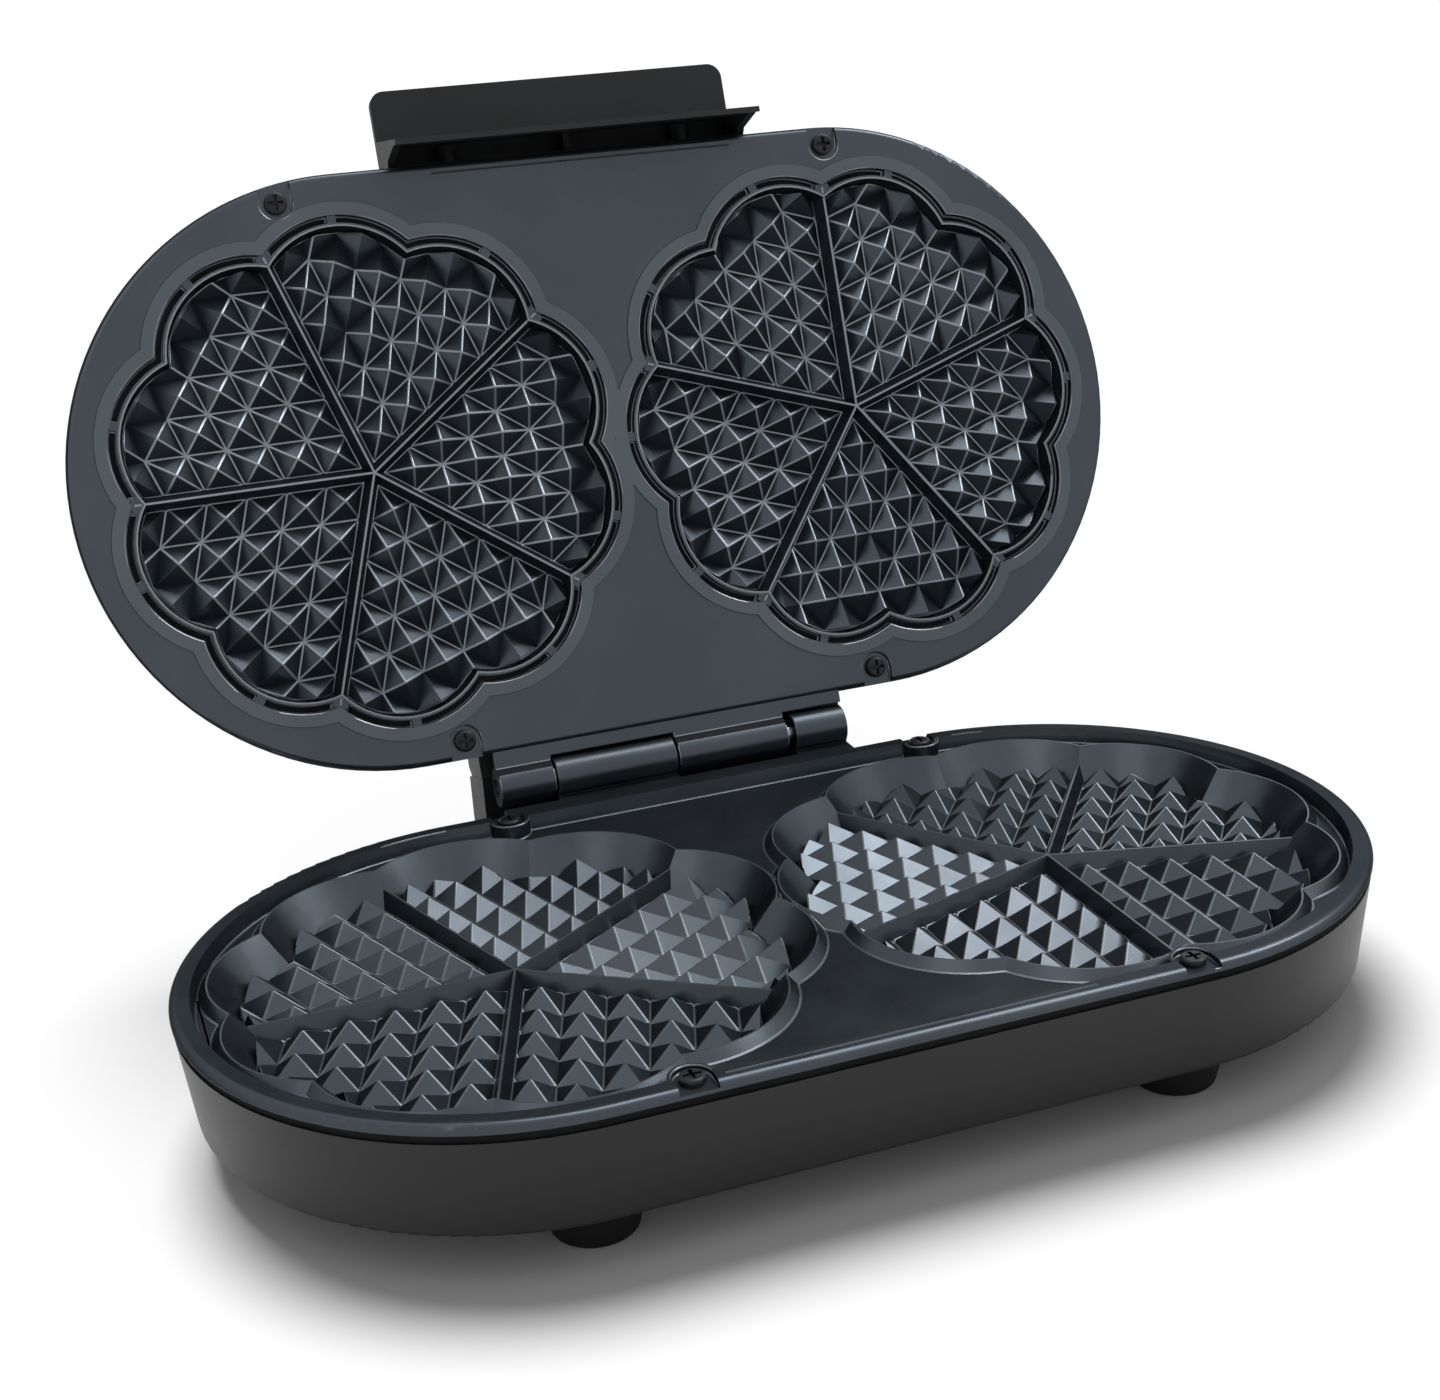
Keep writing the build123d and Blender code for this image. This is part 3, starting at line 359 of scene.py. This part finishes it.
# lighter copy for the base's rounded edges: painted highlight, fainter than the lid's
base_edge_painted_highlight = finish(
    "coating_painted_highlight_on_base_edges", (0.075, 0.088, 0.1), (0.11, 0.125, 0.14), (0.26, 0.36),
    grain=(1400.0, 0.01), metal=0.6, specular=0.3)
# nearly black copy: painted shade in the grooves, beside the bands and on the lid's turned-down
# border
painted_shade_coating = finish(
    "coating_painted_shade_in_grooves", (0.005, 0.006, 0.008), (0.01, 0.011, 0.014), (0.6, 0.75),
    grain=(1400.0, 0.02), specular=0.12)
print("coatings:", [item.name for item in (lid_band_painted_light, lid_edge_painted_highlight, base_edge_painted_highlight, painted_shade_coating)])

# %% [markdown]
# ## Plastics and rubber
#
# The two housings are dark satin mouldings, a shade lighter than the handle and the blocks, which
# are black with a fine grain that kills reflections. The seals, the bush and the feet are rubber:
# almost black, and so rough that no highlight forms.

# %% Mix the plastics
finishes["housing"] = finish(
    "housing_plastic", (0.011, 0.011, 0.012), (0.015, 0.015, 0.016), (0.385, 0.415),
    grain=(2200.0, 0.01), specular=0.32)
finishes["black_plastic"] = finish(
    "black_plastic", (0.007, 0.008, 0.009), (0.012, 0.013, 0.015), (0.5, 0.6),
    grain=(1600.0, 0.03), specular=0.25)
finishes["seal"] = finish(
    "seal_rubber", (0.004, 0.004, 0.004), (0.008, 0.008, 0.008), (0.75, 0.9),
    grain=(1200.0, 0.02), specular=0.15)
finishes["gland_rubber"] = finish(
    "bush_rubber", (0.009, 0.009, 0.009), (0.016, 0.016, 0.016), (0.6, 0.75),
    grain=(1200.0, 0.02), specular=0.3)
finishes["foot_rubber"] = finish(
    "foot_rubber", (0.006, 0.006, 0.006), (0.012, 0.012, 0.012), (0.6, 0.8),
    grain=(1100.0, 0.03), specular=0.2)
print("plastics and rubbers:", len(finishes) - 1)

# %% [markdown]
# ## Metals
#
# The screws of the plates are darkened so that they disappear in the coating. The pin, the screws
# inside and the sheet parts are bright steel or aluminium, each with its own drift of tone: the
# elements are tinted by heat, the shields are plain mill sheet.

# %% Mix the metals
finishes["dark_screw"] = finish(
    "dark_steel", (0.008, 0.008, 0.01), (0.02, 0.021, 0.024), (0.35, 0.5),
    tone_scale=260.0, metal=0.4, specular=0.3)
finishes["bright_screw"] = finish(
    "zinc_steel", (0.48, 0.48, 0.46), (0.66, 0.66, 0.65), (0.25, 0.38),
    tone_scale=220.0, metal=1.0)
finishes["pin_steel"] = finish(
    "pin_steel", (0.42, 0.42, 0.43), (0.6, 0.6, 0.61), (0.22, 0.34),
    tone_scale=150.0, metal=1.0)
finishes["element"] = finish(
    "heated_sheath", (0.16, 0.14, 0.12), (0.34, 0.32, 0.29), (0.38, 0.52),
    tone_scale=60.0, metal=0.9)
finishes["sheet_steel"] = finish(
    "sheet_steel", (0.44, 0.44, 0.43), (0.58, 0.58, 0.57), (0.3, 0.42),
    tone_scale=90.0, metal=1.0)
finishes["shield"] = finish(
    "mill_sheet", (0.62, 0.62, 0.63), (0.76, 0.76, 0.77), (0.3, 0.45),
    tone_scale=40.0, metal=1.0)
finishes["fuse_metal"] = finish(
    "fuse_case", (0.56, 0.54, 0.48), (0.7, 0.68, 0.62), (0.3, 0.4),
    tone_scale=180.0, metal=1.0)
print("finishes so far:", len(finishes))

# %% [markdown]
# ## Ceramic, sleeves and lamps
#
# Inside, the thermostat and the terminal block are cream ceramic and the leads wear a woven
# sleeve. The two lenses in the lid's top are glossy coloured plastic. Their lamps are off, so they
# need no glow: a smooth surface with a clear, strong colour already looks like a lens.

# %% Mix the rest
finishes["ceramic"] = finish(
    "cream_ceramic", (0.66, 0.62, 0.52), (0.78, 0.75, 0.67), (0.3, 0.45), tone_scale=70.0)
finishes["lead_sleeve"] = finish(
    "woven_sleeve", (0.58, 0.56, 0.5), (0.74, 0.73, 0.68), (0.7, 0.85),
    grain=(2600.0, 0.08), tone_scale=120.0, specular=0.2)
finishes["lamp_glass"] = finish(
    "lamp_glass", (0.75, 0.38, 0.2), (0.9, 0.55, 0.34), (0.05, 0.15), tone_scale=90.0)
finishes["red_lens"] = finish(
    "red_lens", (0.36, 0.012, 0.008), (0.52, 0.03, 0.018), (0.1, 0.18), tone_scale=120.0)
finishes["green_lens"] = finish(
    "green_lens", (0.012, 0.26, 0.04), (0.03, 0.4, 0.08), (0.1, 0.18), tone_scale=120.0)
print("finishes in all:", len(finishes))

# %% [markdown]
# ## Paint every piece
#
# The record that came with the construction model names a finish for each piece, so one loop
# paints them all and none is forgotten.

# %% Hand out the finishes
for part in frame["record"]["subparts"]:
    paint(cad_pieces[part["node"]], finishes[part["material_slot"]])

# %% [markdown]
# ## Skins for the castings
#
# Nothing that is cast has a perfectly sharp edge. Those small rounds catch the light as thin
# bright lines, and they are most of what the hearts' pattern looks like. A bevel modifier would be
# the usual tool, but the plates' shortest edges hold it back everywhere. So each plate's mesh is
# copied, its triangles are joined into whole faces, and only edges with room around them are
# rounded. The new skin stands for the construction piece, lies inside it, and rides with it.

# %% Join triangles into whole faces
weld_distance = 0.002 * MM
flat_angle = math.radians(0.5)


def whole_faces(source):
    """Editable copy of a piece's mesh with its flat triangles joined."""
    work = bmesh.new()
    work.from_mesh(source.data)
    bmesh.ops.remove_doubles(work, verts=work.verts, dist=weld_distance)
    bmesh.ops.dissolve_limit(work, angle_limit=flat_angle, verts=work.verts, edges=work.edges)
    return work


def sharp_edges(work, limit):
    """Edges where two faces meet at more than limit, in degrees."""
    return [edge for edge in work.edges
            if len(edge.link_faces) == 2 and math.degrees(edge.calc_face_angle()) > limit]


print("faces joined when flat within degrees:", round(math.degrees(flat_angle), 2))

# %% [markdown]
# A rim's top is so narrow that rounds from both sides would run into each other and fold the
# surface. The same happens where two sharp edges pass close by, or where an edge ends at a very
# short one. Rounding everything and mending the folds afterwards would be endless work, so these
# places are found first and left as they are.

# %% Find the edges with room
crest_share = 0.8
short_share = 1.5
room_share = 2.2


def mean_width(face):
    """Width of a long, narrow face, from its area and the way round it."""
    return 2 * face.calc_area() / face.calc_perimeter()


def crests(work, sharp, width):
    """Faces narrower than width with a sharp edge nearly all the way round, such as a rim's top."""
    known = set(sharp)
    narrow = []
    for face in work.faces:
        edged = sum(edge.calc_length() for edge in face.edges if edge in known)
        if mean_width(face) < width and edged > crest_share * face.calc_perimeter():
            narrow.append(face)
    return narrow


def crowded(sharp, room):
    """Sharp edges with another one, which they don't touch, closer than room."""
    samples = []
    for edge in sharp:
        start, end = (vertex.co for vertex in edge.verts)
        steps = max(1, round(edge.calc_length() / room))
        samples += [(start.lerp(end, (step + 0.5) / steps), edge) for step in range(steps)]
    tree = KDTree(len(samples))
    for number, (point, _) in enumerate(samples):
        tree.insert(point, number)
    tree.balance()
    found = set()
    for point, edge in samples:
        ends = set(edge.verts)
        for _, number, _ in tree.find_range(point, room):
            other = samples[number][1]
            if not ends & set(other.verts):
                found.add(edge)
                break
    return found


def edges_with_room(work, sharp, narrow, radius):
    """Sharp edges beside no narrow face and no close neighbour, whose ends touch no short edge."""
    stubs = [edge for edge in work.edges if edge.calc_length() < short_share * radius]
    tight = {vertex for piece in stubs + narrow for vertex in piece.verts}
    close = crowded(sharp, room_share * radius)
    return [edge for edge in sharp if edge not in close and not tight & set(edge.verts)]


print("room wanted round an edge, in radii:", room_share)

# %% [markdown]
# Round each upper mould runs a groove that looks black in the photograph. Its faces are found by
# their place: the hinge's record tells how far the lid is open, and turned back by that angle the
# groove's floor lies level, at one height, which no other face shares. The raised band beyond the
# groove is found in the same way. The plate's border turns down into the seal and looks black too,
# and its faces are the ones near the outline that don't lie level. The groove, the faces next to it
# and the border get painted shade, and the band gets painted light. Picking faces by hand would do
# the same once, but it would be lost as soon as a size changed.

# %% Find the groove's faces
hinge = frame["record"]["behaviour"]["joints"][0]
hinge_place = Vector(hinge["pos_m"])
close_lid = Matrix.Rotation(math.radians(hinge["range_deg"][1]), 3, "X")
upper_face_height = hinge_place.z - 3.9 * MM
groove_drop = 2.4 * MM
band_rise = 0.4 * MM
height_play = 0.05 * MM
plate_middle = Vector((0, -51.04 * MM, 0))
plate_straight, plate_radius, edge_rounding = 85.5 * MM, 99.5 * MM, 2.2 * MM
level_tilt, border_tilt = 0.99, 0.8


def lid_closed(face):
    """Middle of a face, and how level it lies from 0 to 1, with the lid closed."""
    middle = close_lid @ (face.calc_center_median() - hinge_place) + hinge_place
    return middle, abs((close_lid @ face.normal).z)


def level_faces(work, drop):
    """Faces that lie level, this far above the plate's own face, when the lid is closed."""
    found = []
    for face in work.faces:
        middle, level = lid_closed(face)
        if level > level_tilt and abs(middle.z - upper_face_height - drop) < height_play:
            found.append(face)
    return found


def border_faces(work):
    """Faces that turn down round the outline: two straight runs with a half circle at each end."""
    found = []
    for face in work.faces:
        middle, level = lid_closed(face)
        place = middle - plate_middle
        out = math.hypot(max(abs(place.x) - plate_straight, 0), place.y)
        if out > plate_radius - edge_rounding and level < border_tilt:
            found.append(face)
    return found


def neighbours(faces, width=None):
    """Faces that share an edge with these, or only those narrower than width."""
    edges = [edge for face in faces for edge in face.edges]
    around = {other for edge in edges for other in edge.link_faces} - set(faces)
    return [face for face in around if width is None or mean_width(face) < width]


print("lid turned by degrees to close it:", hinge["range_deg"][1])

# %% [markdown]
# Now a plate gets its skin. The rounds are given their own material as they are made, a lighter
# one that is a painted highlight, so no line has to be drawn one by one. A round can bulge a few
# hundredths of a millimetre past the casting, and its points are held inside the casting's own box.
# Last come the normals: shading is smooth within a round and over the curved walls, and breaks
# everywhere else, so each facet stays one flat tone.

# %% Round a casting
COATING, EDGE, PAINTED_SHADE, BAND = range(4)
round_steps = 2
crest_ratio = 2.5
skins = bpy.data.collections.new("skins")
bpy.context.scene.collection.children.link(skins)


def casting_skin(name, body, radius, painted_edge_highlight, limit=34.0, shading_limits=(26.0, 8.0, 48.0)):
    """Rounded copy of a plate. Radius is in metres and limit is in degrees.

    Shading is smooth up to three limits in degrees: between two faces of the casting, between
    one and a rounded edge, and within a rounded edge.
    """
    work = whole_faces(cad_pieces[name])
    for face in work.faces:
        face.material_index = COATING
    sharp = sharp_edges(work, limit)
    narrow = crests(work, sharp, crest_ratio * radius)
    chosen = edges_with_room(work, sharp, narrow, radius)
    for face in narrow:
        face.material_index = EDGE
    # raised bands get painted light
    bands = level_faces(work, -band_rise)
    for face in bands:
        face.material_index = BAND
    # grooves, the faces next to them and the narrow steps beside the bands get painted shade
    grooves = level_faces(work, groove_drop)
    for face in grooves + neighbours(grooves) + neighbours(bands, MM):
        face.material_index = PAINTED_SHADE
    spans = [(min(places), max(places)) for places in zip(*(vertex.co for vertex in work.verts))]
    bmesh.ops.bevel(work, geom=chosen, offset=radius, offset_type="OFFSET", segments=round_steps,
                    profile=0.5, affect="EDGES", clamp_overlap=False, material=EDGE)
    for vertex in work.verts:
        vertex.co = [min(max(place, low), high) for place, (low, high) in zip(vertex.co, spans)]
    # the lid's turned-down border gets painted shade
    if body == "lid":
        for face in border_faces(work):
            face.material_index = PAINTED_SHADE
    for edge in work.edges:
        if len(edge.link_faces) == 2:
            rounded = sum(face.material_index == EDGE for face in edge.link_faces)
            edge.smooth = math.degrees(edge.calc_face_angle()) < shading_limits[rounded]
    for face in work.faces:
        face.smooth = True
    mesh = bpy.data.meshes.new(name + "_skin")
    work.to_mesh(mesh)
    work.free()
    skin = bpy.data.objects.new(name + "_skin", mesh)
    skins.objects.link(skin)
    for material in (finishes["coated_plate"], painted_edge_highlight, painted_shade_coating, lid_band_painted_light):
        mesh.materials.append(material)
    shading = skin.modifiers.new("flat_shading", "WEIGHTED_NORMAL")
    shading.keep_sharp = True
    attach(skin, body)
    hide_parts(name)
    print(name, "edges rounded:", len(chosen), "crests:", len(narrow), "faces:", len(mesh.polygons))


edge_radius = 0.4 * MM
casting_skin("lower_plate", "base", edge_radius, base_edge_painted_highlight)
casting_skin("upper_plate", "lid", edge_radius, lid_edge_painted_highlight)

# %% [markdown]
# ## Softened mouldings
#
# The handle and the two blocks behind the hinge are injection mouldings, and a mould's corners are
# always a little round. A skin like the castings' would do, but these pieces are simple, so here
# the bevel modifier does the work, and the construction mesh stays as it is underneath.

# %% Round the mouldings
def soften(name, width, limit=35.0):
    """Rounds a construction piece's edges. Width is in metres and the limit in degrees."""
    piece = cad_pieces[name]
    weld = piece.modifiers.new("join_corners", "WELD")
    weld.merge_threshold = weld_distance
    flat = piece.modifiers.new("whole_faces", "DECIMATE")
    flat.decimate_type = "DISSOLVE"
    flat.angle_limit = flat_angle
    rounding = piece.modifiers.new("round_edges", "BEVEL")
    rounding.width = width
    rounding.segments = 3
    rounding.limit_method = "ANGLE"
    rounding.angle_limit = math.radians(limit)
    rounding.use_clamp_overlap = True
    rounding.harden_normals = True


moulding_rounds = {"handle": 0.6 * MM, "rear_housing": 0.6 * MM, "lid_stop": 0.5 * MM}
for name, width in moulding_rounds.items():
    soften(name, width)
print("softened mouldings:", len(moulding_rounds))

# %% [markdown]
# ## Measure and finish
#
# Looks must not change the size of the cooker. The box round everything could be compared by eye,
# but a tenth of a millimetre doesn't show, so it is measured once more, and its largest change
# is printed.

# %% Measure the box again
size_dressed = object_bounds()
growth = max(abs(a - b) for one, two in zip(size_loaded, size_dressed) for a, b in zip(one, two))
print("largest change of the box in mm:", round(growth / MM, 3))
